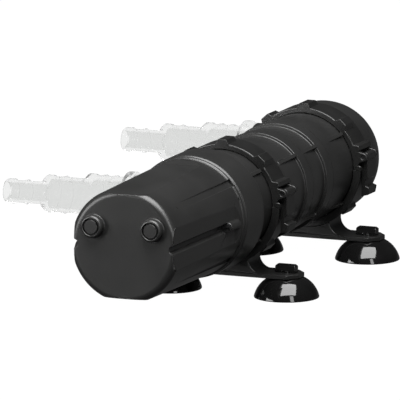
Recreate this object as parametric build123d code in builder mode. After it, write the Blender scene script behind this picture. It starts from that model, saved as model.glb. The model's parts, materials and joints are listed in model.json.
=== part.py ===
"""Inline UV clarifier: a lamp housing, a water chamber and two clamp feet on suction cups.

Frame: +Z up, the body lies along Y with the lamp housing's face towards -Y, and the two
hose fittings point towards -X. The origin is on the floor, under the middle of the whole.
Stations are distances behind the housing's face; radii are taken from the body's axis.
"""
import os
from math import cos, radians, sin

from build123d import *

# ---------------------------------------------------------------- driving dimensions, mm
axis_height = 52.0          # body axis above the floor

# lamp housing, the tapered cap at the front
cap_length = 94.4
cap_nose_r = 31.8
cap_tail_r = 33.1
cap_nose_round = 4.0
cap_wall = 3.5
cap_bore_nose_r = 25.2
cap_bore_tail_r = 27.4
flat_margin = 10.4          # between the end of the four flats and the open end
flat_wall_run = 3.0         # how far the wall behind a flat leans back
top_flat_nose = 29.0        # distance of the top and bottom flats from the axis
top_flat_tail = 31.1
side_flat_nose = 29.4
side_flat_tail = 31.3
groove_mouth = 5.3          # screwdriver groove along each side flat
groove_floor = 2.5
groove_depth = 2.5
corner_angle = 40.0         # corner slots and the chamber's gussets, from the horizontal
slot_width = 4.0
slot_floor_r = 32.0
slot_start = 17.0
bead_r = 34.0
bead_width = 3.0

# screws, plugs and bosses of the lamp housing
cap_screw_x = 31.2
cap_screw_r = 1.4
cap_screw_head_r = 2.4
cap_screw_head = 2.2
cap_screw_bite = 12.0       # thread length in the head
cap_screw_well = 6.0        # driver's way in front of the screw head
screw_boss_r = 2.7
screw_boss_length = 10.0
screw_slot_width = 0.8
screw_slot_depth = 1.0
plug_x = 17.5
plug_z = 10.5
plug_boss_r = 6.3
plug_boss_height = 4.7
plug_boss_edge = 0.9
plug_r = 4.65
plug_recess = 1.2           # plug's rim below the boss's rim
plug_disc_r = 3.9
plug_disc_rise = 1.1
plug_tail = 1.9             # plug's inner end, in front of the housing's face
tray_screw_r = 1.5
tray_screw_length = 14.0
tray_head_r = 3.0
tray_head_height = 2.2
tray_head_seat = 1.6        # behind the housing's face
tray_post_r = 3.6
tray_boss_height = 4.0

# front head: collar, neck, inlet port and sleeve seat
collar_r = 34.3
collar_length = 25.6
spigot_length = 9.4         # head spigot inside the cap
neck_r = 29.6
water_r = 26.2              # inside radius of the water space
nose_r = 23.2               # inside radius of the nose that plugs into the chamber
nose_length = 6.0
collar_edge = 0.5
collar_front_edge = 1.2
gusset_rise = 1.8           # height of the neck's gussets
seal_section_r = 0.8        # O-rings of the cap and of the chamber joints
seal_groove = 2.0
seal_groove_depth = 1.6
sleeve_nut_wall = 4.5
sleeve_nut_length = 7.0

# chamber between the two clamps
neck_run = 22.0             # from the collar to the front clamp
clamp_pitch = 120.8
clamp_width = 18.0
flange_r = 31.1
flange_width = 4.7
chamber_r = 28.9
step_station = 51.0         # first raised band behind the front clamp's face
step_pitch = 28.5
step_r = 30.5
step_rise = 0.5             # the second band is this much larger
step_band = 10.0
gusset_length = 22.0
gusset_growth = 3.5         # each later gusset is this much longer
gusset_width = 2.2

# ports and stepped hose fittings
port_gap = 1.2              # between a port and the clamp next to it
port_rise = 1.0             # port axis above the body axis
port_r = 14.6
port_bore_r = 12.05
port_reach = 42.0           # port mouth from the body axis
hose_reach = 122.0          # fitting tip from the body axis
hose_small_r = 6.2          # necks for 13, 20 and 25 mm hose
hose_medium_r = 9.8
hose_large_r = 12.2
barb_rise = 0.7
hose_small_length = 23.0
hose_medium_length = 26.0
hose_large_length = 24.0
hose_flange_r = 15.6
hose_small_bore_r = 4.7
hose_medium_bore_r = 8.0
hose_large_bore_r = 9.4
hose_flange_length = 2.8
barb_lead = 3.0             # sloping front of a barb
barb_back = 0.5             # steep back of a barb
barb_land = 3.2             # straight crest where each hose first grips
spigot_reach = 14.0         # bayonet spigot inside the port
fitting_seal_r = 0.75

# rear head
rear_body_r = 31.8          # behind the rear clamp
rear_body_gap = 0.8         # between the clamp and the wider part
rear_neck_run = 10.2        # from the rear clamp to the start of the dome
dome_length = 28.0
dome_flat_r = 9.0

# clamps
band_r = 33.1
band_lip_r = 30.0
band_groove_r = 31.4
band_lug_r = 35.4
foot_lug_r = 35.4
lug_length = 12.5
lug_foot = 0.4              # how far a lug's foot goes into the ring
ring_edge = 0.5
hook_r = 1.8                # rounded end of the foot's front strip
hook_x = 33.6
strip_proud = 1.2
hinge_x = 36.4
hinge_knuckle_r = 3.0
hinge_pin_r = 1.5
latch_pivot_x = 35.7
latch_pivot_z = 7.0
latch_knuckle_r = 2.4
latch_pin_r = 1.1
latch_ear = 3.0             # width of each of the band's two ears
latch_face_x = 33.6         # latch inner face
latch_reach = 38.4
latch_tail = -15.6          # lowest point of the latch, from the axis
knuckle_inset = 4.5         # hinge knuckle of the foot, from the clamp's faces
knuckle_ear = 4.2           # hinge knuckles of the band
pin_inset = 0.4

# feet and suction cups
plate_top = 38.2            # below the body axis
plate_thickness = 2.4
plate_width = 20.0
cup_x = 35.0
plate_corner = 3.8          # full width ends this far outside the cup's axis
plate_nose = 9.0
plate_nose_width = 8.0
pedestal_waist = 15.6
pedestal_flare_r = 7.6
cup_r = 18.1
cup_top_r = 9.2
cup_lip = 0.7
cup_hollow = 3.8
stem_r = 3.1
key_length = 12.0
key_width = 4.8
key_height = 4.7
key_edge = 1.0
cup_play = 0.15             # between the foot plate and the rubber on each side
cup_rim = 1.1               # flat ring that the cup stands on

# lamp, sleeve and electronics
sleeve_wall = 1.6
sleeve_setback = 4.6        # sleeve's open end behind the lamp housing
sleeve_past_joint = 12.2    # sleeve's closed end behind the rear joint
bulkhead = 6.0
seal_width = 3.0
support_length = 8.0        # ring that centres the sleeve's far end
support_setback = 22.0
support_rim = 1.6
support_vane = 2.0
lamp_tube_r = 6.0
lamp_tube_x = 7.2
lamp_room = 1.7             # between the tubes and the sleeve
lamp_tube_seat = 8.0
lamp_tip_gap = 12.8         # between the tubes' tips and the sleeve's closed end
lamp_bridge_r = 3.0
lamp_bridge_setback = 9.0
lamp_base_width = 32.0
lamp_base_height = 18.0
lamp_base_length = 22.0
lamp_key_width = 22.0       # the base's plug-in block
lamp_key_height = 12.0
lamp_pin_x = 13.5
lamp_pin_r = 1.15
lamp_pin_length = 7.5
holder_length = 17.0
holder_floor = 3.0
tray_r = 24.4
tray_setback = 44.9         # tray plate in front of the housing's open end
tray_plate = 2.5
deck_start = 12.0
deck_width = 34.0
deck_thickness = 2.0
deck_z = -8.0               # underside of the deck
wire_slot_width = 24.0
wire_slot_height = 6.0
wire_slot_z = -14.0
board_thickness = 1.6
board_width = 24.0
board_start = 14.0
board_end = 46.0
board_foot = 3.0
board_foot_x = 9.0
board_foot_stations = (18.0, 42.0)
choke_width = 18.0
choke_height = 12.0
choke_start = 26.0
choke_end = 42.0
coil_width = 14.0
coil_height = 9.0
coil_overhang = 2.5
capacitor_r = 4.0
capacitor_height = 11.0
capacitor_station = 18.6

# cable gland
gland_station = 36.0
gland_z = -10.5
gland_boss_r = 7.8
gland_pad_x = 20.0          # inner face of the gland's seat
gland_nut_r = 6.0
gland_nut_width = 2.6
gland_flange_r = 7.0
gland_flange_width = 2.6
gland_neck_r = 5.4
gland_neck_end = 5.0        # past the seat
gland_seat_x = 33.5
gland_thread_r = 4.5
gland_bore_r = 3.1
dome_nut_r = 6.6
dome_nut_end = 8.5          # past the seat
dome_nut_shoulder = 6.0
dome_nut_tip_r = 5.0

# clearances
running = 0.05              # shaft in a hole, radial
slip = 0.1                  # spigots and seats
gap = 0.3                   # between faces that move past each other
fit_wall = 3.0
over = 1.0                  # how far a cut runs past a face

# ---------------------------------------------------------------- derived values
flat_end = cap_length - flat_margin
clamp_station = cap_length + collar_length + neck_run
port_offset = clamp_width / 2 + port_r + port_gap
rear_neck_end = clamp_width / 2 + rear_neck_run
joint_front = clamp_station + clamp_width / 2
joint_rear = joint_front + clamp_pitch
inlet_station = joint_front - port_offset
outlet_station = joint_rear + port_offset
dome_start = joint_rear + rear_neck_end
tail_station = dome_start + dome_length
collar_end = cap_length + collar_length
bulkhead_end = inlet_station - port_bore_r
sleeve_r = lamp_tube_x + lamp_tube_r + lamp_room + sleeve_wall
sleeve_open = cap_length + sleeve_setback
sleeve_end = joint_rear + sleeve_past_joint
tray_station = cap_length - tray_setback
foot_reach = cup_x + cup_r
overall = tail_station + plug_boss_height

body_x = (hose_reach - foot_reach) / 2
nose_y = plug_boss_height - overall / 2
body_z = axis_height

side = Plane(origin=(body_x, nose_y, body_z))
spine = Axis((body_x, nose_y, body_z), (0, 1, 0))


# ---------------------------------------------------------------- planes and helpers
def section(station):
    """Plane across the body: local x is X, local y is Z, normal towards the front."""
    return Plane(origin=(body_x, nose_y + station, body_z), x_dir=(1, 0, 0), z_dir=(0, -1, 0))


def radial(angle):
    """Plane along the body: local x is the radius at this angle, local y the station."""
    a = radians(angle)
    return Plane(
        origin=(body_x, nose_y, body_z),
        x_dir=(cos(a), 0, sin(a)),
        z_dir=(-sin(a), 0, cos(a)),
    )


def level(height, x=0.0, station=0.0):
    """Horizontal plane at a height over the floor, centred on a place along the body."""
    return Plane(origin=(body_x + x, nose_y + station, height))


def port_plane(station):
    """Plane along a port: local x runs out of the port, local y is the radius."""
    return Plane(
        origin=(body_x, nose_y + station, body_z + port_rise),
        x_dir=(-1, 0, 0),
        z_dir=(0, 0, -1),
    )


def port_axis(station):
    return Axis((body_x, nose_y + station, body_z + port_rise), (-1, 0, 0))


def polar(r, angle, along=0.0):
    """Point in a section at a radius and angle, moved along the tangent."""
    a = radians(angle)
    return (r * cos(a) - along * sin(a), r * sin(a) + along * cos(a))


def turn(points, plane=side, axis=spine, mode=Mode.ADD):
    """Solid of revolution from a closed outline of (radius, station) points."""
    with BuildSketch(plane) as outline:
        with BuildLine():
            Polyline(*points, close=True)
        make_face()
    revolve(outline.sketch, axis=axis, mode=mode)


def turned_ring(outer, inner, start, end, mode=Mode.ADD):
    turn([(inner, start), (outer, start), (outer, end), (inner, end)], mode=mode)


def prism(points, start, end, mode=Mode.ADD):
    """Outline in a section, carried along the body between two stations."""
    with BuildSketch(section(start)) as outline:
        with BuildLine():
            Polyline(*points, close=True)
        make_face()
    extrude(outline.sketch, amount=start - end, mode=mode)


def rod(r, x, z, start, end, mode=Mode.ADD):
    """Round bar parallel to the body."""
    with BuildSketch(section(start)) as outline:
        with Locations((x, z)):
            Circle(r)
    extrude(outline.sketch, amount=start - end, mode=mode)


def block(width, height, x, z, start, end, mode=Mode.ADD, corner=0.0):
    """Rectangular bar parallel to the body."""
    with BuildSketch(section(start)) as outline:
        with Locations((x, z)):
            if corner > 0:
                RectangleRounded(width, height, corner)
            else:
                Rectangle(width, height)
    extrude(outline.sketch, amount=start - end, mode=mode)


def cross_rod(r, station, z, near, far, mode=Mode.ADD):
    """Round bar along X towards -X, between two distances from the body axis."""
    plane = Plane(
        origin=(body_x - near, nose_y + station, body_z + z), x_dir=(0, 1, 0), z_dir=(-1, 0, 0)
    )
    with BuildSketch(plane) as outline:
        Circle(r)
    extrude(outline.sketch, amount=far - near, mode=mode)


def strip(angle, points, thickness, mode=Mode.ADD):
    """Flat rib or cut in a plane through the axis, from (radius, station) points."""
    with BuildSketch(radial(angle)) as outline:
        with BuildLine():
            Polyline(*points, close=True)
        make_face()
    extrude(outline.sketch, amount=thickness / 2, both=True, mode=mode)


def lug(angle, top_r, start, end, top=5.0, base=9.0):
    """Trapezoid finger lug on a clamp ring."""
    root_r = band_groove_r + lug_foot
    points = [
        polar(root_r, angle, -base / 2),
        polar(top_r, angle, -top / 2),
        polar(top_r, angle, top / 2),
        polar(root_r, angle, base / 2),
    ]
    prism(points, start, end)


def seal_ring(centre_r, section_r, station, plane=side, axis=spine):
    """O-ring about the body axis or a port axis."""
    place = (station, centre_r) if plane is not side else (centre_r, station)
    with BuildSketch(plane) as outline:
        with Locations(place):
            Circle(section_r)
    revolve(outline.sketch, axis=axis)


def save(name, builder):
    builder.part.label = name
    export_step(builder.part, "parts/" + name + ".step")


os.makedirs("parts", exist_ok=True)

# ---------------------------------------------------------------- lamp housing
corner_angles = (corner_angle, 180 - corner_angle, 180 + corner_angle, -corner_angle)
spigot_r = cap_bore_tail_r + 1.4
spigot_start = cap_length - spigot_length
bead_station = cap_length - bead_width / 2
boss_start = flat_end - screw_boss_length
beyond = cap_tail_r + 8.0

with BuildPart() as front_cap:
    turn([(0, 0), (cap_nose_r, 0), (cap_tail_r, cap_length), (0, cap_length)])
    fillet(front_cap.edges().group_by(Axis.Y)[0], radius=cap_nose_round)
    # four flats, each closed at its tail by a leaning wall
    for angle, nose, tail in (
        (0, side_flat_nose, side_flat_tail),
        (90, top_flat_nose, top_flat_tail),
        (180, side_flat_nose, side_flat_tail),
        (270, top_flat_nose, top_flat_tail),
    ):
        slope = (tail - nose) / flat_end
        outline = [
            (nose - slope * over, -over),
            (tail, flat_end),
            (beyond, flat_end + flat_wall_run * (beyond - tail)),
            (beyond, -over),
        ]
        strip(angle, outline, 2 * cap_nose_r, mode=Mode.SUBTRACT)
    # half-round bead at the tail
    with BuildSketch(side) as bead:
        with Locations((bead_r - bead_width / 2, bead_station)):
            Circle(bead_width / 2)
        with Locations((cap_tail_r - 2.0, bead_station)):
            Rectangle(4.0, bead_width)
    revolve(bead.sketch, axis=spine)
    # corner slots, running out through the bead
    for angle in corner_angles:
        outline = [
            (slot_floor_r, slot_start),
            (slot_floor_r, cap_length + over),
            (beyond, cap_length + over),
            (beyond, slot_start),
        ]
        strip(angle, outline, slot_width, mode=Mode.SUBTRACT)
    # screwdriver groove along each side, and the screw boss at its end
    for hand in (1, -1):
        floor_nose = side_flat_nose - groove_depth
        floor_tail = side_flat_tail - groove_depth
        mouths = []
        for station, floor in ((-over, floor_nose), (boss_start + 2 * over, floor_tail)):
            with BuildSketch(section(station)) as mouth:
                with BuildLine():
                    Polyline(
                        (hand * floor, -groove_floor / 2),
                        (hand * (floor + 2 * groove_depth), -groove_mouth + groove_floor / 2),
                        (hand * (floor + 2 * groove_depth), groove_mouth - groove_floor / 2),
                        (hand * floor, groove_floor / 2),
                        close=True,
                    )
                make_face()
            mouths.append(mouth.sketch)
        loft(mouths, mode=Mode.SUBTRACT)
        rod(screw_boss_r, hand * cap_screw_x, 0, boss_start, flat_end + 3)
    # plug bosses on the face
    for hand in (1, -1):
        rod(plug_boss_r, hand * plug_x, plug_z, -plug_boss_height, over)
    chamfer(front_cap.edges().group_by(Axis.Y)[0], length=plug_boss_edge)
    # gland seat on the hidden side
    cross_rod(gland_boss_r, gland_station, gland_z, gland_pad_x, gland_seat_x)
    # inside: electronics bay and the seat of the head's spigot
    turn(
        [
            (0, cap_wall),
            (cap_bore_nose_r, cap_wall),
            (cap_bore_tail_r, spigot_start - over),
            (spigot_r + slip, spigot_start - over),
            (spigot_r + slip, cap_length + over),
            (0, cap_length + over),
        ],
        mode=Mode.SUBTRACT,
    )
    cross_rod(gland_boss_r, gland_station, gland_z, gland_pad_x, cap_bore_nose_r)
    cross_rod(
        gland_thread_r + running, gland_station, gland_z, gland_pad_x - 8, beyond, mode=Mode.SUBTRACT
    )
    # bosses inside the face for the tray screws, then their holes
    for hand in (1, -1):
        across, up = hand * plug_x, plug_z
        rod(tray_post_r, across, up, cap_wall - over / 2, cap_wall + tray_boss_height)
        rod(plug_r + running, across, up, -plug_boss_height - over, -slip, Mode.SUBTRACT)
        rod(tray_head_r + 2 * slip, across, up, -over, tray_head_seat, Mode.SUBTRACT)
        rod(tray_screw_r + slip, across, up, 0, cap_wall + tray_boss_height + over, Mode.SUBTRACT)
        across = hand * cap_screw_x
        rod(cap_screw_r + slip, across, 0, boss_start - over, cap_length + over, Mode.SUBTRACT)
        rod(
            cap_screw_head_r + 2 * slip, across, 0, boss_start - cap_screw_well, boss_start,
            Mode.SUBTRACT,
        )
save("front_cap", front_cap)

with BuildPart() as front_plugs:
    for hand in (1, -1):
        rim = plug_recess - plug_boss_height
        rod(plug_r, hand * plug_x, plug_z, rim, -plug_tail)
        rod(plug_disc_r, hand * plug_x, plug_z, rim - plug_disc_rise, rim + slip)
save("front_plugs", front_plugs)

with BuildPart() as tray_screws:
    for hand in (1, -1):
        across, head_top = hand * plug_x, tray_head_seat - tray_head_height
        rod(tray_head_r, across, plug_z, head_top, tray_head_seat)
        rod(tray_screw_r, across, plug_z, tray_head_seat, cap_wall + tray_screw_length)
        # cross recess, as one slot
        block(
            2 * tray_screw_r + over, screw_slot_width, across, plug_z,
            head_top - over, head_top + screw_slot_depth, Mode.SUBTRACT,
        )
save("tray_screws", tray_screws)

with BuildPart() as cap_screws:
    for hand in (1, -1):
        across, head_top = hand * cap_screw_x, boss_start - cap_screw_head
        rod(cap_screw_head_r, across, 0, head_top, boss_start)
        rod(cap_screw_r, across, 0, boss_start, cap_length + cap_screw_bite)
        block(
            2 * cap_screw_r + slip, screw_slot_width, across, 0,
            head_top - over, head_top + screw_slot_depth, Mode.SUBTRACT,
        )
save("cap_screws", cap_screws)

# ---------------------------------------------------------------- cable gland
gland_inner_x = gland_pad_x - slip - gland_nut_width
gland_flange_x = gland_seat_x + gland_flange_width
gland_neck_x = gland_seat_x + gland_neck_end
with BuildPart() as cable_gland:
    for r, near, far in (
        (gland_thread_r, gland_inner_x, gland_seat_x),
        (gland_flange_r, gland_seat_x, gland_flange_x),
        (gland_neck_r, gland_flange_x, gland_neck_x),
    ):
        cross_rod(r, gland_station, gland_z, near, far)
    cross_rod(
        gland_bore_r, gland_station, gland_z, gland_inner_x - over, gland_neck_x + over,
        mode=Mode.SUBTRACT,
    )
save("cable_gland", cable_gland)

gland_axis_place = (body_x, nose_y + gland_station, body_z + gland_z)
with BuildPart() as gland_dome:
    gland_plane = Plane(origin=gland_axis_place, x_dir=(-1, 0, 0), z_dir=(0, 0, -1))
    with BuildSketch(gland_plane) as outline:
        with BuildLine():
            Polyline(
                (gland_flange_x + slip, gland_neck_r + slip),
                (gland_flange_x + slip, dome_nut_r),
                (gland_seat_x + dome_nut_shoulder, dome_nut_r),
                (gland_seat_x + dome_nut_end, dome_nut_tip_r),
                (gland_seat_x + dome_nut_end, gland_bore_r),
                (gland_neck_x + slip, gland_bore_r),
                (gland_neck_x + slip, gland_neck_r + slip),
                close=True,
            )
        make_face()
    revolve(outline.sketch, axis=Axis(gland_axis_place, (-1, 0, 0)))
save("gland_dome", gland_dome)

with BuildPart() as gland_nut:
    nut_plane = Plane(
        origin=(body_x - gland_inner_x, nose_y + gland_station, body_z + gland_z),
        x_dir=(0, 1, 0),
        z_dir=(-1, 0, 0),
    )
    with BuildSketch(nut_plane):
        RegularPolygon(gland_nut_r, 6)
        Circle(gland_thread_r + running, mode=Mode.SUBTRACT)
    extrude(amount=gland_nut_width)
save("gland_nut", gland_nut)

# ---------------------------------------------------------------- electronics
deck_top = deck_z + deck_thickness
wall_height = plug_z - deck_z
tray_front = cap_wall + tray_boss_height + gap
tray_screw_tip = cap_wall + tray_screw_length
with BuildPart() as electronics_tray:
    rod(tray_r, 0, 0, tray_station, tray_station + tray_plate)
    block(deck_width, deck_thickness, 0, deck_z + deck_thickness / 2, deck_start, tray_station)
    for hand in (1, -1):
        rod(tray_post_r, hand * plug_x, plug_z, tray_front, tray_station)
        block(
            deck_thickness, wall_height, hand * (deck_width - deck_thickness) / 2,
            deck_z + wall_height / 2, deck_start, tray_station,
        )
        rod(tray_screw_r, hand * plug_x, plug_z, cap_wall, tray_screw_tip, Mode.SUBTRACT)
    block(
        wire_slot_width, wire_slot_height, 0, wire_slot_z,
        tray_station - over, tray_station + tray_plate + over, Mode.SUBTRACT,
    )
save("electronics_tray", electronics_tray)

board_low = deck_top + 1.0
board_top = board_low + board_thickness
with BuildPart() as ballast_board:
    block(board_width, board_thickness, 0, board_low + board_thickness / 2, board_start, board_end)
    for x in (-board_foot_x, board_foot_x):
        for station in board_foot_stations:
            block(
                board_foot, board_low - deck_top, x, (deck_top + board_low) / 2,
                station - board_foot / 2, station + board_foot / 2,
            )
save("ballast_board", ballast_board)

choke_z = board_top + choke_height / 2
with BuildPart() as ballast_choke:
    block(choke_width, choke_height, 0, choke_z, choke_start, choke_end, corner=1.0)
    block(
        coil_width, coil_height, 0, choke_z,
        choke_start - coil_overhang, choke_end + coil_overhang, corner=3.0,
    )
save("ballast_choke", ballast_choke)

with BuildPart() as ballast_capacitor:
    with BuildSketch(level(body_z + board_top, station=capacitor_station)):
        Circle(capacitor_r)
    extrude(amount=capacitor_height)
    fillet(ballast_capacitor.edges().group_by(Axis.Z)[-1], radius=0.6)
save("ballast_capacitor", ballast_capacitor)

# ---------------------------------------------------------------- lamp
holder_start = tray_station + tray_plate
holder_end = holder_start + holder_length
base_start = holder_end + 2 * slip
base_end = base_start + lamp_base_length
tube_start = base_end - lamp_tube_seat
with BuildPart() as lamp_holder:
    block(lamp_base_width + 2, lamp_base_height + 2, 0, 0, holder_start, holder_end, corner=2.0)
    block(
        lamp_key_width + 1, lamp_key_height + 1, 0, 0,
        holder_start + holder_floor, holder_end + over, Mode.SUBTRACT,
    )
    for hand in (1, -1):
        rod(
            lamp_pin_r + slip, hand * lamp_pin_x, 0,
            holder_end - lamp_pin_length - over, holder_end + over, Mode.SUBTRACT,
        )
save("lamp_holder", lamp_holder)

with BuildPart() as lamp_base:
    block(lamp_base_width, lamp_base_height, 0, 0, base_start, base_end, corner=4.0)
    block(lamp_key_width, lamp_key_height, 0, 0, holder_start + holder_floor + over, base_start)
    for hand in (1, -1):
        rod(lamp_pin_r, hand * lamp_pin_x, 0, base_start - lamp_pin_length, base_start)
        rod(lamp_tube_r, hand * lamp_tube_x, 0, tube_start, base_end + over, Mode.SUBTRACT)
save("lamp_base", lamp_base)

lamp_end = sleeve_end - lamp_tip_gap
with BuildPart() as lamp_tubes:
    for hand in (1, -1):
        rod(lamp_tube_r, hand * lamp_tube_x, 0, tube_start, lamp_end)
    fillet(lamp_tubes.edges().group_by(Axis.Y)[-1], radius=4.0)
    # short bridge that joins the two tubes near their tips
    with BuildSketch(Plane(
        origin=(body_x - lamp_tube_x, nose_y + lamp_end - lamp_bridge_setback, body_z),
        x_dir=(0, 1, 0),
        z_dir=(1, 0, 0),
    )):
        Circle(lamp_bridge_r)
    extrude(amount=2 * lamp_tube_x)
save("lamp_tubes", lamp_tubes)

with BuildPart() as quartz_sleeve:
    inner = sleeve_r - sleeve_wall
    with BuildSketch(side):
        with BuildLine():
            Line((inner, sleeve_open), (sleeve_r, sleeve_open))
            Line((sleeve_r, sleeve_open), (sleeve_r, sleeve_end - sleeve_r))
            RadiusArc((sleeve_r, sleeve_end - sleeve_r), (0, sleeve_end), -sleeve_r)
            Line((0, sleeve_end), (0, sleeve_end - sleeve_wall))
            RadiusArc((0, sleeve_end - sleeve_wall), (inner, sleeve_end - sleeve_r), inner)
            Line((inner, sleeve_end - sleeve_r), (inner, sleeve_open))
        make_face()
    revolve(axis=spine)
save("quartz_sleeve", quartz_sleeve)

# ---------------------------------------------------------------- front head
seat_start = bulkhead_end - bulkhead - seal_width
nut_r = sleeve_r + sleeve_nut_wall
nut_start = seat_start - sleeve_nut_length
seal_r = sleeve_r + seal_width / 2 + slip / 2
flange_front = joint_front - flange_width
nose_seal_station = nose_length / 2
nose_outer_r = water_r - slip
nose_seal_r = nose_outer_r - seal_section_r
cap_seal_r = spigot_r - seal_section_r
cap_seal_station = spigot_start + spigot_length / 2


def gusset(angle, start, end, foot_r, top_r):
    """Low rib that rises towards its end."""
    outline = [(foot_r - over, start), (foot_r + slip, start), (top_r, end), (foot_r - over, end)]
    strip(angle, outline, gusset_width)


def port_bore(station):
    """Socket of a port, open into the water space."""
    inner = (water_r**2 - port_bore_r**2) ** 0.5 - 2 * over
    cross_rod(port_bore_r, station, port_rise, inner, port_reach + over, mode=Mode.SUBTRACT)


def seal_cut(outer, station):
    """Groove of an O-ring round a spigot."""
    half = seal_groove / 2
    turned_ring(outer + over, outer - seal_groove_depth, station - half, station + half, Mode.SUBTRACT)


with BuildPart() as front_head:
    turn(
        [
            (0, spigot_start),
            (spigot_r, spigot_start),
            (spigot_r, cap_length),
            (collar_r - collar_front_edge, cap_length),
            (collar_r, cap_length + collar_front_edge),
            (collar_r, collar_end - collar_edge),
            (collar_r - collar_edge, collar_end),
            (neck_r, collar_end),
            (neck_r, flange_front),
            (flange_r, flange_front),
            (flange_r, joint_front),
            (nose_outer_r, joint_front),
            (nose_outer_r, joint_front + nose_length),
            (0, joint_front + nose_length),
        ]
    )
    for angle in corner_angles:
        gusset(
            angle, collar_end - over, clamp_station - strip_proud - gap, neck_r, neck_r + gusset_rise
        )
    cross_rod(port_r, inlet_station, port_rise, 0, port_reach)
    # front side: lamp base bay, sleeve nut thread, seal pocket, sleeve bore
    turn(
        [
            (0, spigot_start - over),
            (spigot_r - fit_wall, spigot_start - over),
            (spigot_r - fit_wall, nut_start),
            (nut_r + running, nut_start),
            (nut_r + running, seat_start),
            (sleeve_r + seal_width + slip, seat_start),
            (sleeve_r + seal_width + slip, seat_start + seal_width),
            (sleeve_r + slip, seat_start + seal_width),
            (sleeve_r + slip, bulkhead_end + over),
            (0, bulkhead_end + over),
        ],
        mode=Mode.SUBTRACT,
    )
    # water side, open into the chamber
    turn(
        [
            (0, bulkhead_end),
            (water_r, bulkhead_end),
            (water_r, joint_front - (water_r - nose_r)),
            (nose_r, joint_front),
            (nose_r, joint_front + nose_length + over),
            (0, joint_front + nose_length + over),
        ],
        mode=Mode.SUBTRACT,
    )
    port_bore(inlet_station)
    seal_cut(spigot_r, cap_seal_station)
    seal_cut(nose_outer_r, joint_front + nose_seal_station)
    for hand in (1, -1):
        rod(
            cap_screw_r, hand * cap_screw_x, 0, cap_length - over, cap_length + cap_screw_bite,
            Mode.SUBTRACT,
        )
save("front_head", front_head)

with BuildPart() as cap_seal:
    seal_ring(cap_seal_r, seal_section_r, cap_seal_station)
save("cap_seal", cap_seal)

with BuildPart() as sleeve_seal:
    seal_ring(seal_r, seal_width / 2, seat_start + seal_width / 2)
save("sleeve_seal", sleeve_seal)

with BuildPart() as sleeve_nut:
    turn(
        [
            (sleeve_r + slip, nut_start + 0.5),
            (nut_r, nut_start + 0.5),
            (nut_r, seat_start - slip),
            (sleeve_r + slip, seat_start - slip),
        ]
    )
    # spanner notches in the open face
    with BuildSketch(section(nut_start + 0.5)):
        with PolarLocations((sleeve_r + nut_r) / 2, 6):
            Rectangle(3.0, 2.4)
    extrude(amount=-2.0, mode=Mode.SUBTRACT)
save("sleeve_nut", sleeve_nut)

with BuildPart() as front_joint_seal:
    seal_ring(nose_seal_r, seal_section_r, joint_front + nose_seal_station)
save("front_joint_seal", front_joint_seal)

# ---------------------------------------------------------------- chamber
with BuildPart() as chamber_tube:
    first = clamp_station + step_station
    second = first + step_pitch
    clamp_tail = clamp_station + clamp_pitch
    clamp_front = clamp_tail - strip_proud - gap
    second_r = step_r + step_rise
    turn(
        [
            (water_r, joint_front),
            (flange_r, joint_front),
            (flange_r, joint_front + flange_width),
            (neck_r, joint_front + flange_width),
            (neck_r, clamp_station + clamp_width + 1),
            (chamber_r, clamp_station + clamp_width + 2),
            (chamber_r, first),
            (step_r, first),
            (step_r - 0.2, first + step_band),
            (step_r - 0.5, first + step_band),
            (chamber_r + 0.3, second),
            (second_r, second),
            (second_r - 0.2, second + step_band),
            (second_r - 0.5, second + step_band),
            (neck_r + 0.4, clamp_tail - 2),
            (neck_r, clamp_tail - 1.5),
            (neck_r, joint_rear - flange_width),
            (flange_r, joint_rear - flange_width),
            (flange_r, joint_rear),
            (water_r, joint_rear),
        ]
    )
    for angle in corner_angles:
        gusset(angle, first - gusset_length, first + 0.5, chamber_r, step_r + 0.3)
        second_length = gusset_length + gusset_growth
        last_length = second_length + gusset_growth
        gusset(angle, second - second_length, second + 0.5, chamber_r + 0.3, second_r + 0.3)
        gusset(angle, clamp_front - last_length, clamp_front, neck_r, second_r + 0.8)
save("chamber_tube", chamber_tube)

support_start = joint_rear - support_setback
support_end = support_start + support_length
with BuildPart() as sleeve_support:
    inner_rim = sleeve_r + slip + support_rim
    outer_rim = water_r - slip - support_rim
    turned_ring(inner_rim, sleeve_r + slip, support_start, support_end)
    turned_ring(water_r - slip, outer_rim, support_start, support_end)
    for angle in (30, 150, 270):
        vane = [
            (inner_rim - over, support_start + over),
            (outer_rim + over, support_start + over),
            (outer_rim + over, support_end - over),
            (inner_rim - over, support_end - over),
        ]
        strip(angle, vane, support_vane)
save("sleeve_support", sleeve_support)

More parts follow.
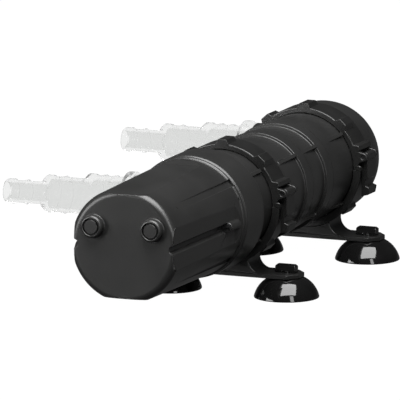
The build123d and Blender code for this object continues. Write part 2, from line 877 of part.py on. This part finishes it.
# ---------------------------------------------------------------- rear head
rear_body_start = clamp_station + clamp_pitch + clamp_width + rear_body_gap
with BuildPart() as rear_head:
    with BuildSketch(side):
        with BuildLine():
            Polyline(
                (0, joint_rear - nose_length),
                (nose_outer_r, joint_rear - nose_length),
                (nose_outer_r, joint_rear),
                (flange_r, joint_rear),
                (flange_r, joint_rear + flange_width),
                (neck_r, joint_rear + flange_width),
                (neck_r, rear_body_start),
                (rear_body_r - collar_edge, rear_body_start),
                (rear_body_r, rear_body_start + collar_edge),
                (rear_body_r, dome_start),
            )
            ThreePointArc(
                (rear_body_r, dome_start),
                (rear_body_r * cos(radians(38)), dome_start + dome_length * sin(radians(43))),
                (dome_flat_r, tail_station),
            )
            Polyline((dome_flat_r, tail_station), (0, tail_station), (0, joint_rear - nose_length))
        make_face()
    revolve(axis=spine)
    cross_rod(port_r, outlet_station, port_rise, 0, port_reach)
    with BuildSketch(side):
        with BuildLine():
            Polyline(
                (0, joint_rear - nose_length - over),
                (nose_r, joint_rear - nose_length - over),
                (nose_r, joint_rear),
                (water_r, joint_rear + water_r - nose_r),
                (water_r, dome_start),
            )
            ThreePointArc(
                (water_r, dome_start),
                (water_r * cos(radians(38)), dome_start + (dome_length - fit_wall) * sin(radians(43))),
                (dome_flat_r - 2, tail_station - fit_wall),
            )
            Polyline(
                (dome_flat_r - 2, tail_station - fit_wall),
                (0, tail_station - fit_wall),
                (0, joint_rear - nose_length - over),
            )
        make_face()
    revolve(axis=spine, mode=Mode.SUBTRACT)
    cross_rod(
        port_bore_r, outlet_station, port_rise, sleeve_r / 2, port_reach + over, mode=Mode.SUBTRACT
    )
    seal_cut(nose_outer_r, joint_rear - nose_seal_station)
save("rear_head", rear_head)

with BuildPart() as rear_joint_seal:
    seal_ring(nose_seal_r, seal_section_r, joint_rear - nose_seal_station)
save("rear_joint_seal", rear_joint_seal)

# ---------------------------------------------------------------- hose fittings
fitting_r = port_bore_r - running
fitting_seal = port_reach - spigot_reach / 2
spigot_end = port_reach - spigot_reach
flange_start = port_reach + 2 * slip
flange_end = flange_start + hose_flange_length
small_start = hose_reach - hose_small_length
medium_start = small_start - hose_medium_length
large_start = medium_start - hose_large_length


def barb(place, neck):
    """Outline of one barb, whose steep side faces the body."""
    return [(place, neck), (place + barb_back, neck + barb_rise), (place + barb_back + barb_lead, neck)]


def first_barb(place, neck, tip, end):
    """Barb with a straight crest, which falls to the next size or to the tip."""
    crest = place + barb_back
    return [(place, neck), (crest, neck + barb_rise), (crest + barb_land, neck + barb_rise), (end, tip)]


def hose_fitting(station):
    """Stepped adaptor for three hose sizes, with a bayonet spigot and a seal groove."""
    outline = [
        (spigot_end, hose_large_bore_r),
        (spigot_end, fitting_r - 2 * running - barb_back),
        (spigot_end + barb_back, fitting_r),
        (fitting_seal - seal_groove / 2, fitting_r),
        (fitting_seal - seal_groove / 2, fitting_r - 2 * fitting_seal_r),
        (fitting_seal + seal_groove / 2, fitting_r - 2 * fitting_seal_r),
        (fitting_seal + seal_groove / 2, fitting_r),
        (flange_start, fitting_r),
        (flange_start, port_r - 4 * slip),
        (flange_end, port_r - 4 * slip),
        (flange_end, hose_flange_r),
        (large_start, hose_flange_r),
        (large_start, hose_large_r),
    ]
    outline += barb(large_start + 7.0, hose_large_r)
    outline += barb(large_start + 13.5, hose_large_r)
    outline += first_barb(medium_start - 4.4, hose_large_r, hose_medium_r + 0.8, medium_start + 1.5)
    outline += [(medium_start + 2.5, hose_medium_r)]
    outline += barb(medium_start + 13.0, hose_medium_r)
    outline += first_barb(small_start - 5.5, hose_medium_r, hose_medium_r - 0.6, small_start - 0.4)
    outline += [(small_start + 0.4, hose_small_r)]
    outline += barb(hose_reach - 13.4, hose_small_r)
    outline += first_barb(hose_reach - 5.4, hose_small_r, hose_small_r, hose_reach)
    outline += [
        (hose_reach, hose_small_bore_r),
        (small_start - 2.0, hose_small_bore_r),
        (small_start - 4.0, hose_medium_bore_r),
        (medium_start - 2.0, hose_medium_bore_r),
        (medium_start - 4.0, hose_large_bore_r),
    ]
    turn(outline, plane=port_plane(station), axis=port_axis(station))


for name, station in (("inlet", inlet_station), ("outlet", outlet_station)):
    with BuildPart() as fitting:
        hose_fitting(station)
    save(name + "_fitting", fitting)
    with BuildPart() as fitting_ring:
        seal_ring(
            fitting_r - fitting_seal_r, fitting_seal_r, fitting_seal,
            port_plane(station), port_axis(station),
        )
    save(name + "_seal", fitting_ring)

# ---------------------------------------------------------------- clamps and feet
pedestal_top = -pedestal_waist * 1.75


def clamp_ring(start, upper):
    """Half of the clamp ring, with the groove that draws the two flanges together."""
    middle = start + clamp_width / 2
    groove = flange_width + 2 * slip
    turn(
        [
            (band_lip_r, start),
            (band_r - ring_edge, start),
            (band_r, start + ring_edge),
            (band_r, start + clamp_width - ring_edge),
            (band_r - ring_edge, start + clamp_width),
            (band_lip_r, start + clamp_width),
            (band_lip_r, middle + groove),
            (band_groove_r, middle + groove),
            (band_groove_r, middle - groove),
            (band_lip_r, middle - groove),
        ]
    )
    # keep the half above or below the parting plane
    wide = 2 * band_r + 4
    cut = -band_r if upper else band_r
    shift = gap / 2 if upper else 0.0
    block(
        wide, 2 * band_r, 0, cut + shift, start - over, start + clamp_width + over, Mode.SUBTRACT
    )


def foot(start):
    """Lower clamp half on its pedestal and foot plate."""
    middle = start + clamp_width / 2
    end = start + clamp_width
    groove = flange_width + 2 * slip
    clamp_ring(start, upper=False)
    # front strip of the clamp, ending in a rounded hook beside the latch
    turned_ring(hook_x + hook_r - 0.8, band_lip_r + gap, start - strip_proud, start)
    block(2 * beyond, 2 * hook_x, 0, hook_x, start - strip_proud - over, start, Mode.SUBTRACT)
    rod(hook_r, hook_x, hook_r / 3, start - strip_proud, start)
    # pedestal with flared flanks
    flare_x = pedestal_waist + pedestal_flare_r
    flare_z = -plate_top + pedestal_flare_r
    inner = pedestal_flare_r * cos(radians(45))
    with BuildSketch(section(start)) as flank:
        with BuildLine():
            for hand in (1, -1):
                ThreePointArc(
                    (hand * pedestal_waist, flare_z),
                    (hand * (flare_x - inner), flare_z - inner),
                    (hand * flare_x, -plate_top),
                )
                Line((hand * pedestal_waist, flare_z), (hand * pedestal_waist, pedestal_top))
            Line((-pedestal_waist, pedestal_top), (pedestal_waist, pedestal_top))
            Line((-flare_x, -plate_top), (flare_x, -plate_top))
        make_face()
    extrude(flank.sketch, amount=-clamp_width)
    turned_ring(band_lip_r, 0.0, start - over, middle - groove, Mode.SUBTRACT)
    turned_ring(band_groove_r, 0.0, middle - groove, middle + groove, Mode.SUBTRACT)
    turned_ring(band_lip_r, 0.0, middle + groove, end + over, Mode.SUBTRACT)
    # foot plate with cut corners and a hole for each cup's stem
    full = cup_x + plate_corner
    tip = cup_x + plate_nose
    with BuildSketch(level(body_z - plate_top - plate_thickness, station=middle)) as plate:
        with BuildLine():
            Polyline(
                (-full, -plate_width / 2),
                (full, -plate_width / 2),
                (tip, -plate_nose_width / 2),
                (tip, plate_nose_width / 2),
                (full, plate_width / 2),
                (-full, plate_width / 2),
                (-tip, plate_nose_width / 2),
                (-tip, -plate_nose_width / 2),
                close=True,
            )
        make_face()
        with Locations((-cup_x, 0), (cup_x, 0)):
            Circle(stem_r + running, mode=Mode.SUBTRACT)
    extrude(plate.sketch, amount=plate_thickness)
    # lower finger lugs, both sides
    for angle in (-44, 180 + 44):
        lug(angle, foot_lug_r, start, start + lug_length, top=4.5, base=8.0)
    # hinge knuckle in the middle of the hidden side
    knuckle_start = start + knuckle_inset
    knuckle_end = end - knuckle_inset
    prism(
        [(-hinge_x, -hinge_knuckle_r), (-hinge_x, 0), (-band_r + 0.8, 0), (-band_groove_r, -9.0)],
        knuckle_start,
        knuckle_end,
    )
    rod(hinge_knuckle_r, -hinge_x, 0, knuckle_start, knuckle_end)
    rod(hinge_pin_r, -hinge_x, 0, knuckle_start - over, knuckle_end + over, Mode.SUBTRACT)


def band(start):
    """Upper clamp half with finger lugs, hinge knuckles and the latch's ears."""
    end = start + clamp_width
    clamp_ring(start, upper=True)
    for angle in (90, 48, 132):
        lug(angle, band_lug_r, start, start + lug_length)
    for angle in (20, 160):
        lug(angle, band_lug_r + lug_foot, start, end, top=2.5, base=6.0)
    for low, high in ((start, start + knuckle_ear), (end - knuckle_ear, end)):
        prism(
            [
                (-hinge_x, hinge_knuckle_r),
                (-hinge_x, gap),
                (-band_r + 0.8, gap),
                (-band_groove_r, 9.0),
            ],
            low,
            high,
        )
        rod(hinge_knuckle_r, -hinge_x, 0, low, high)
        rod(hinge_pin_r + running, -hinge_x, 0, low - over, high + over, Mode.SUBTRACT)
    for low, high in ((start, start + latch_ear), (end - latch_ear, end)):
        prism(
            [
                (band_groove_r + lug_foot, gap),
                (latch_pivot_x - latch_knuckle_r, latch_pivot_z - 3.4),
                (latch_pivot_x, latch_pivot_z - latch_knuckle_r),
                (latch_pivot_x, latch_pivot_z + latch_knuckle_r),
                polar(band_groove_r + lug_foot, 20),
            ],
            low,
            high,
        )
        rod(latch_knuckle_r, latch_pivot_x, latch_pivot_z, low, high)
        rod(latch_pin_r, latch_pivot_x, latch_pivot_z, low - over, high + over, Mode.SUBTRACT)


def latch(start):
    """Over-centre latch with a finger lug, hung from the band's ears."""
    low = start + latch_ear + gap
    high = start + clamp_width - latch_ear - gap
    prism(
        [
            (latch_face_x, latch_pivot_z - 0.5),
            (latch_pivot_x + 1.0, latch_pivot_z + 0.5),
            (latch_reach - 0.8, latch_pivot_z - 3.4),
            (latch_reach - 0.8, -5.2),
            (latch_reach - 2.4, -6.4),
            (latch_reach - 2.6, -9.6),
            (latch_reach, -10.6),
            (latch_reach - 0.8, -14.6),
            (latch_face_x, latch_tail),
        ],
        low,
        high,
    )
    rod(latch_knuckle_r - slip, latch_pivot_x, latch_pivot_z, low, high)
    rod(latch_pin_r + running, latch_pivot_x, latch_pivot_z, low - over, high + over, Mode.SUBTRACT)


for name, start in (("front", clamp_station), ("rear", clamp_station + clamp_pitch)):
    with BuildPart() as clamp_foot:
        foot(start)
    save(name + "_foot", clamp_foot)
    with BuildPart() as clamp_band:
        band(start)
    save(name + "_band", clamp_band)
    with BuildPart() as clamp_latch:
        latch(start)
    save(name + "_latch", clamp_latch)
    with BuildPart() as clamp_hinge_pin:
        rod(hinge_pin_r, -hinge_x, 0, start + pin_inset, start + clamp_width - pin_inset)
    save(name + "_hinge_pin", clamp_hinge_pin)
    with BuildPart() as clamp_latch_pin:
        rod(
            latch_pin_r, latch_pivot_x, latch_pivot_z,
            start + pin_inset, start + clamp_width - pin_inset,
        )
    save(name + "_latch_pin", clamp_latch_pin)

# ---------------------------------------------------------------- suction cups
cup_height = body_z - plate_top - plate_thickness - cup_play
key_bottom = body_z - plate_top + cup_play


def suction_cup(x, station):
    """Soft cup with a stem through the foot plate and a bar-shaped key on top."""
    centre = (body_x + x, nose_y + station, 0)
    upright = Plane(origin=centre, x_dir=(1, 0, 0), z_dir=(0, -1, 0))
    with BuildSketch(upright) as profile:
        with BuildLine():
            ThreePointArc((0, cup_hollow), (cup_r / 2, cup_hollow * 0.76), (cup_r - cup_rim, 0))
            Polyline((cup_r - cup_rim, 0), (cup_r, 0), (cup_r, cup_lip))
            ThreePointArc(
                (cup_r, cup_lip),
                (0.5 * (cup_r + cup_top_r) + 1.6, 0.5 * cup_height + 0.9),
                (cup_top_r, cup_height),
            )
            Polyline(
                (cup_top_r, cup_height),
                (stem_r, cup_height),
                (stem_r, key_bottom + over),
                (0, key_bottom + over),
                (0, cup_hollow),
            )
        make_face()
    revolve(profile.sketch, axis=Axis(centre, (0, 0, 1)))
    with BuildSketch(level(key_bottom, x=x, station=station)) as key:
        Rectangle(key_length, key_width)
    extrude(key.sketch, amount=key_height - cup_play)


for name, start in (("front", clamp_station), ("rear", clamp_station + clamp_pitch)):
    for hand_name, hand in (("left", -1), ("right", 1)):
        with BuildPart() as cup:
            suction_cup(hand * cup_x, start + clamp_width / 2)
            chamfer(cup.edges().group_by(Axis.Z)[-1], length=key_edge)
        save(name + "_" + hand_name + "_cup", cup)
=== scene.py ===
import bpy
import json
from math import cos, pi, radians, sin
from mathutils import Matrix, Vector


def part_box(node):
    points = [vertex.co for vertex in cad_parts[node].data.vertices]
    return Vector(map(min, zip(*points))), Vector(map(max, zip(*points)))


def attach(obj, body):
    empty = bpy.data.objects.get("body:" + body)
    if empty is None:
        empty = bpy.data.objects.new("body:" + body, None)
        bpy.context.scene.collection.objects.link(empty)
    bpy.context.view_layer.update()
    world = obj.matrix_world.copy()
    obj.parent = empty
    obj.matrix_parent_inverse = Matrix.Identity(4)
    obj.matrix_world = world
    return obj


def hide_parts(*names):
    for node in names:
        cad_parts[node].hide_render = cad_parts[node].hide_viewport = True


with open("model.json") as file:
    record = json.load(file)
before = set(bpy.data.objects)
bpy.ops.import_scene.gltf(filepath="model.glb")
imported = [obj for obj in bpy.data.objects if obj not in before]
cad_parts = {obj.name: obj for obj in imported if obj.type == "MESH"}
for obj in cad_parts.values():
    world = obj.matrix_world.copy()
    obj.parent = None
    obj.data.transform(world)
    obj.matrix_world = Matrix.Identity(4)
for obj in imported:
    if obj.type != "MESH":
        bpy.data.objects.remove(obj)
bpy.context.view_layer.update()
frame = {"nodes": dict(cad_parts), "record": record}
print("frame loaded")

mm = 0.001
nodes = frame["nodes"]
bodyOf = {name: body for body, names in frame["record"]["behaviour"]["bodies"].items() for name in names}
slotOf = {entry["node"]: entry["material_slot"] for entry in frame["record"]["subparts"]}

# middle of the body's axis, taken from the chamber
chamberLow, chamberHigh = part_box("chamber_tube")
capLow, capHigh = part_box("front_cap")
axisX = (chamberLow.x + chamberHigh.x) / 2
axisZ = (capLow.z + capHigh.z) / 2


# camera, floor and lights
cameraLook = {
    "target": (axisX, -0.0469, axisZ + 0.0069),
    "azimuth": 22.23,
    "elevation": 10.58,
    "distance": 9.2,
    "lens": 1505.0,
    "sensor": 36.0,
    "reach": 100,  # metres
}


def addCamera(look):
    turn, rise = radians(look["azimuth"]), radians(look["elevation"])
    back = Vector((sin(turn) * cos(rise), -cos(turn) * cos(rise), sin(rise)))
    bpy.ops.object.camera_add(location=Vector(look["target"]) + look["distance"] * back)
    camera = bpy.context.object
    camera.rotation_euler = (-back).to_track_quat("-Z", "Y").to_euler()
    camera.data.lens = look["lens"]
    camera.data.sensor_width = look["sensor"]
    camera.data.clip_end = look["reach"]
    bpy.context.scene.camera = camera


studioLook = {
    "floorSize": 30.0,
    "floorTone": (0.01, 0.01, 0.01, 1),
    "floorGlow": 1.0,
    "floorRoughness": 0.9,
    "floorGloss": 0.1,
    "lowTone": (0.10, 0.10, 0.10, 1),
    "highTone": (0.03, 0.03, 0.031, 1),
    "horizon": 0.12,  # where the air has reached its high tone
    "clearTone": (1.0, 1.0, 1.0, 1),
}

# each light: place relative to the body's middle, size in metres, power in watts
lightLooks = {
    "overheadSoftbox": {"place": (0.22, -0.40, 1.1), "size": (1.2, 1.2), "power": 46, "glossOnly": False},
    "frontLeftSoftbox": {"place": (-1.1, -1.3, 0.35), "size": (0.9, 0.9), "power": 20, "glossOnly": False},
    "rightStrip": {"place": (1.15, -1.25, 0.5), "size": (0.35, 1.3), "power": 9, "glossOnly": True},
}


def addStudio(look):
    bpy.ops.mesh.primitive_plane_add(size=look["floorSize"], location=(0, 0, 0))
    floor = bpy.context.object
    floor.name = "studioFloor"
    material = bpy.data.materials.new("floorPaper")
    material.use_nodes = True
    shader = material.node_tree.nodes["Principled BSDF"]
    shader.inputs["Base Color"].default_value = look["floorTone"]
    shader.inputs["Roughness"].default_value = look["floorRoughness"]
    shader.inputs["Specular IOR Level"].default_value = look["floorGloss"]
    shader.inputs["Emission Color"].default_value = (1, 1, 1, 1)
    shader.inputs["Emission Strength"].default_value = look["floorGlow"]
    floor.data.materials.append(material)
    floor.visible_glossy = False
    floor.visible_diffuse = False
    world = bpy.data.worlds.new("studioAir")
    bpy.context.scene.world = world
    world.use_nodes = True
    # dim air above, paler below, as a pale floor would reflect
    tree = world.node_tree
    place = tree.nodes.new("ShaderNodeTexCoord")
    split = tree.nodes.new("ShaderNodeSeparateXYZ")
    tones = tree.nodes.new("ShaderNodeValToRGB")
    tree.links.new(place.outputs["Generated"], split.inputs["Vector"])
    tree.links.new(split.outputs["Z"], tones.inputs["Fac"])
    # clear pieces look out on white paper
    path = tree.nodes.new("ShaderNodeLightPath")
    swap = tree.nodes.new("ShaderNodeMix")
    swap.data_type = "RGBA"
    factor, airTone, clearTone = (swap.inputs[number] for number in (0, 6, 7))  # its colour sockets
    mixed = swap.outputs[2]
    clearTone.default_value = look["clearTone"]
    tree.links.new(path.outputs["Is Transmission Ray"], factor)
    tree.links.new(tones.outputs["Color"], airTone)
    tree.links.new(mixed, tree.nodes["Background"].inputs["Color"])
    tones.color_ramp.elements[0].color = look["lowTone"]
    tones.color_ramp.elements[1].color = look["highTone"]
    tones.color_ramp.elements[0].position = 0.0
    tones.color_ramp.elements[1].position = look["horizon"]
    bpy.context.scene.view_settings.view_transform = "Standard"


def addLights(looks):
    middle = Vector((axisX, 0, axisZ))
    for name, look in looks.items():
        place = middle + Vector(look["place"])
        bpy.ops.object.light_add(type="AREA", location=place)
        light = bpy.context.object
        light.name = name
        light.rotation_euler = (place - middle).to_track_quat("Z", "Y").to_euler()
        light.data.shape = "RECTANGLE"
        light.data.size, light.data.size_y = look["size"]
        light.data.energy = look["power"]
        light.visible_diffuse = not look["glossOnly"]


addCamera(cameraLook)
addStudio(studioLook)
addLights(lightLooks)
print("camera, floor and lights")


# materials
def newMaterial(name):
    material = bpy.data.materials.new(name)
    material.use_nodes = True
    tree = material.node_tree
    place = tree.nodes.new("ShaderNodeTexCoord")
    return material, tree, tree.nodes["Principled BSDF"], place.outputs["Object"]


def addNoise(tree, place, scale, detail=2.0):
    noise = tree.nodes.new("ShaderNodeTexNoise")
    noise.inputs["Scale"].default_value = scale
    noise.inputs["Detail"].default_value = detail
    tree.links.new(place, noise.inputs["Vector"])
    return noise.outputs["Fac"]


def addRamp(tree, source, low, high, start=0.3, end=0.7):
    ramp = tree.nodes.new("ShaderNodeMapRange")
    for key, value in (("From Min", start), ("From Max", end), ("To Min", low), ("To Max", high)):
        ramp.inputs[key].default_value = value
    tree.links.new(source, ramp.inputs["Value"])
    return ramp.outputs["Result"]


def addTones(tree, source, darkTone, lightTone, start=0.3, end=0.7):
    ramp = tree.nodes.new("ShaderNodeValToRGB")
    ramp.color_ramp.elements[0].position = start
    ramp.color_ramp.elements[0].color = (*darkTone, 1)
    ramp.color_ramp.elements[1].position = end
    ramp.color_ramp.elements[1].color = (*lightTone, 1)
    tree.links.new(source, ramp.inputs["Fac"])
    return ramp.outputs["Color"]


def addBump(tree, source, depth, strength):
    bump = tree.nodes.new("ShaderNodeBump")
    bump.inputs["Distance"].default_value = depth
    bump.inputs["Strength"].default_value = strength
    tree.links.new(source, bump.inputs["Height"])
    return bump.outputs["Normal"]


def plainMaterial(name, look):
    material, tree, shader, place = newMaterial(name)
    patches = addNoise(tree, place, look["patchScale"])
    tones = addTones(tree, patches, look["darkTone"], look["lightTone"])
    tree.links.new(tones, shader.inputs["Base Color"])
    tree.links.new(addRamp(tree, patches, *look["roughness"]), shader.inputs["Roughness"])
    grain = addNoise(tree, place, look["grainScale"], look["grainDetail"])
    bumps = addBump(tree, grain, look["grainDepth"], look["grainStrength"])
    tree.links.new(bumps, shader.inputs["Normal"])
    shader.inputs["Specular IOR Level"].default_value = look["gloss"]
    shader.inputs["Metallic"].default_value = look["metal"]
    return material


def clearMaterial(name, look):
    material, tree, shader, place = newMaterial(name)
    patches = addNoise(tree, place, look["patchScale"])
    tree.links.new(addRamp(tree, patches, *look["roughness"]), shader.inputs["Roughness"])
    ripple = addNoise(tree, place, look["rippleScale"])
    bumps = addBump(tree, ripple, look["rippleDepth"], look["rippleStrength"])
    tree.links.new(bumps, shader.inputs["Normal"])
    shader.inputs["Base Color"].default_value = (*look["tone"], 1)
    shader.inputs["Transmission Weight"].default_value = 1.0
    shader.inputs["IOR"].default_value = look["ior"]
    return material


# what all plain finishes share, unless a finish says otherwise
plainFinish = {"grainDetail": 3.0, "grainStrength": 0.2, "gloss": 0.5, "metal": 0.0}
plainLooks = {
    "housing_plastic": {
        "darkTone": (0.015, 0.015, 0.0147),
        "lightTone": (0.019, 0.019, 0.0186),
        "patchScale": 40,
        "roughness": (0.3, 0.36),
        "grainScale": 2600,
        "grainDepth": 0.00004,
        "grainStrength": 0.25,
    },
    "clamp_plastic": {
        "darkTone": (0.009, 0.009, 0.0088),
        "lightTone": (0.012, 0.012, 0.0117),
        "patchScale": 60,
        "roughness": (0.28, 0.34),
        "grainScale": 2600,
        "grainDepth": 0.00004,
    },
    "inner_plastic": {
        "darkTone": (0.05, 0.05, 0.05),
        "lightTone": (0.07, 0.07, 0.07),
        "patchScale": 50,
        "roughness": (0.45, 0.55),
        "grainScale": 2000,
        "grainDepth": 0.00004,
    },
    "ivory_plastic": {
        "darkTone": (0.7, 0.66, 0.56),
        "lightTone": (0.78, 0.75, 0.66),
        "patchScale": 50,
        "roughness": (0.35, 0.45),
        "grainScale": 1800,
        "grainDepth": 0.00003,
    },
    "seal_rubber": {
        "darkTone": (0.02, 0.02, 0.02),
        "lightTone": (0.035, 0.035, 0.035),
        "patchScale": 120,
        "roughness": (0.55, 0.7),
        "grainScale": 3000,
        "grainDepth": 0.00003,
        "grainStrength": 0.3,
        "gloss": 0.3,
    },
    "cup_rubber": {
        "darkTone": (0.004, 0.004, 0.004),
        "lightTone": (0.006, 0.006, 0.006),
        "patchScale": 60,
        "roughness": (0.04, 0.08),
        "grainScale": 300,
        "grainDepth": 0.00001,
        "grainStrength": 0.1,
    },
    "steel": {
        "darkTone": (0.09, 0.09, 0.092),
        "lightTone": (0.15, 0.15, 0.153),
        "patchScale": 400,
        "roughness": (0.25, 0.4),
        "grainScale": 4000,
        "grainDepth": 0.00001,
        "metal": 1.0,
    },
    "circuit_board": {
        "darkTone": (0.02, 0.1, 0.04),
        "lightTone": (0.04, 0.17, 0.07),
        "patchScale": 500,
        "roughness": (0.3, 0.45),
        "grainScale": 2500,
        "grainDepth": 0.00002,
    },
    "choke_iron": {
        "darkTone": (0.16, 0.1, 0.04),
        "lightTone": (0.32, 0.2, 0.08),
        "patchScale": 500,
        "roughness": (0.3, 0.5),
        "grainScale": 1500,
        "grainDepth": 0.00006,
        "grainStrength": 0.3,
    },
    "capacitor_can": {
        "darkTone": (0.012, 0.02, 0.07),
        "lightTone": (0.02, 0.03, 0.1),
        "patchScale": 200,
        "roughness": (0.2, 0.3),
        "grainScale": 1500,
        "grainDepth": 0.00002,
    },
}
clearLooks = {
    "clear_plastic": {
        "tone": (0.83, 0.835, 0.83),
        "ior": 1.07,
        "patchScale": 60,
        "roughness": (0.16, 0.24),
        "rippleScale": 180,
        "rippleDepth": 0.000004,
        "rippleStrength": 0.3,
    },
    "quartz": {
        "tone": (0.97, 0.98, 0.98),
        "ior": 1.46,
        "patchScale": 60,
        "roughness": (0.0, 0.03),
        "rippleScale": 200,
        "rippleDepth": 0.00001,
        "rippleStrength": 0.3,
    },
    "lamp_glass": {
        "tone": (0.95, 0.96, 0.98),
        "ior": 1.48,
        "patchScale": 60,
        "roughness": (0.0, 0.03),
        "rippleScale": 200,
        "rippleDepth": 0.00001,
        "rippleStrength": 0.3,
    },
}
materials = {name: plainMaterial(name, plainFinish | look) for name, look in plainLooks.items()}
materials.update({name: clearMaterial(name, look) for name, look in clearLooks.items()})
for name, node in nodes.items():
    node.data.materials.clear()
    node.data.materials.append(materials[slotOf[name]])
print("materials")


# tools for the pieces
def deselectAll():
    if bpy.context.object and bpy.context.object.mode != "OBJECT":
        bpy.ops.object.mode_set(mode="OBJECT")
    bpy.ops.object.select_all(action="DESELECT")


def pick(piece):
    deselectAll()
    piece.select_set(True)
    bpy.context.view_layer.objects.active = piece


def applyModifiers(piece):
    pick(piece)
    for modifier in list(piece.modifiers):
        bpy.ops.object.modifier_apply(modifier=modifier.name)


def smooth(piece, angle):
    pick(piece)
    bpy.ops.object.shade_smooth_by_angle(angle=radians(angle))


def roundEdges(piece, width, angle, segments=2):
    smooth(piece, angle)
    bevel = piece.modifiers.new("roundedEdges", "BEVEL")
    bevel.width = width * mm
    bevel.segments = segments
    bevel.limit_method = "ANGLE"
    bevel.angle_limit = radians(angle)
    bevel.use_clamp_overlap = False
    bevel.miter_outer = "MITER_ARC"
    weighted = piece.modifiers.new("evenShading", "WEIGHTED_NORMAL")
    weighted.keep_sharp = True
    applyModifiers(piece)


def finishPiece(piece, name, node):
    piece.name = name
    piece.data.name = name
    piece.data.materials.clear()
    piece.data.materials.append(materials[slotOf[node]])
    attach(piece, bodyOf[node])
    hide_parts(node)


# corners this close are one, in mm, and triangles this flat to each other join, in degrees
meshJoin = {"distance": 0.002, "flatness": 0.3}


def softenedCopy(node, name, look):
    # the CAD shape with its edges rounded as a mould leaves them
    pick(nodes[node])
    bpy.ops.object.duplicate()
    piece = bpy.context.object
    for key in list(piece.keys()):
        if key.startswith("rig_"):
            del piece[key]
    piece.parent = None
    bpy.ops.mesh.customdata_custom_splitnormals_clear()
    bpy.ops.object.mode_set(mode="EDIT")
    bpy.ops.mesh.select_all(action="SELECT")
    bpy.ops.mesh.remove_doubles(threshold=meshJoin["distance"] * mm)
    bpy.ops.mesh.tris_convert_to_quads(face_threshold=radians(meshJoin["flatness"]), shape_threshold=pi)
    bpy.ops.mesh.select_all(action="DESELECT")
    bpy.ops.object.mode_set(mode="OBJECT")
    roundEdges(piece, look["edge"], look["angle"])
    finishPiece(piece, name, node)


# moulded pieces: width of each one's rounded edges in mm, and the least angle that is rounded
softenLooks = {
    "front_cap": {"edge": 0.35, "angle": 14},
    "front_head": {"edge": 0.3, "angle": 30},
    "chamber_tube": {"edge": 0.3, "angle": 30},
    "rear_head": {"edge": 0.3, "angle": 30},
    "front_foot": {"edge": 0.3, "angle": 30},
    "rear_foot": {"edge": 0.3, "angle": 30},
    "front_band": {"edge": 0.3, "angle": 30},
    "rear_band": {"edge": 0.3, "angle": 30},
    "front_latch": {"edge": 0.3, "angle": 30},
    "rear_latch": {"edge": 0.3, "angle": 30},
    "cable_gland": {"edge": 0.2, "angle": 30},
    "gland_dome": {"edge": 0.3, "angle": 30},
    "inlet_fitting": {"edge": 0.15, "angle": 25},
    "outlet_fitting": {"edge": 0.15, "angle": 25},
    "front_left_cup": {"edge": 0.3, "angle": 28},
    "front_right_cup": {"edge": 0.3, "angle": 28},
    "rear_left_cup": {"edge": 0.3, "angle": 28},
    "rear_right_cup": {"edge": 0.3, "angle": 28},
    "front_plugs": {"edge": 0.2, "angle": 30},
}
for node, look in softenLooks.items():
    softenedCopy(node, node + ".moulded", look)
print("moulded pieces")
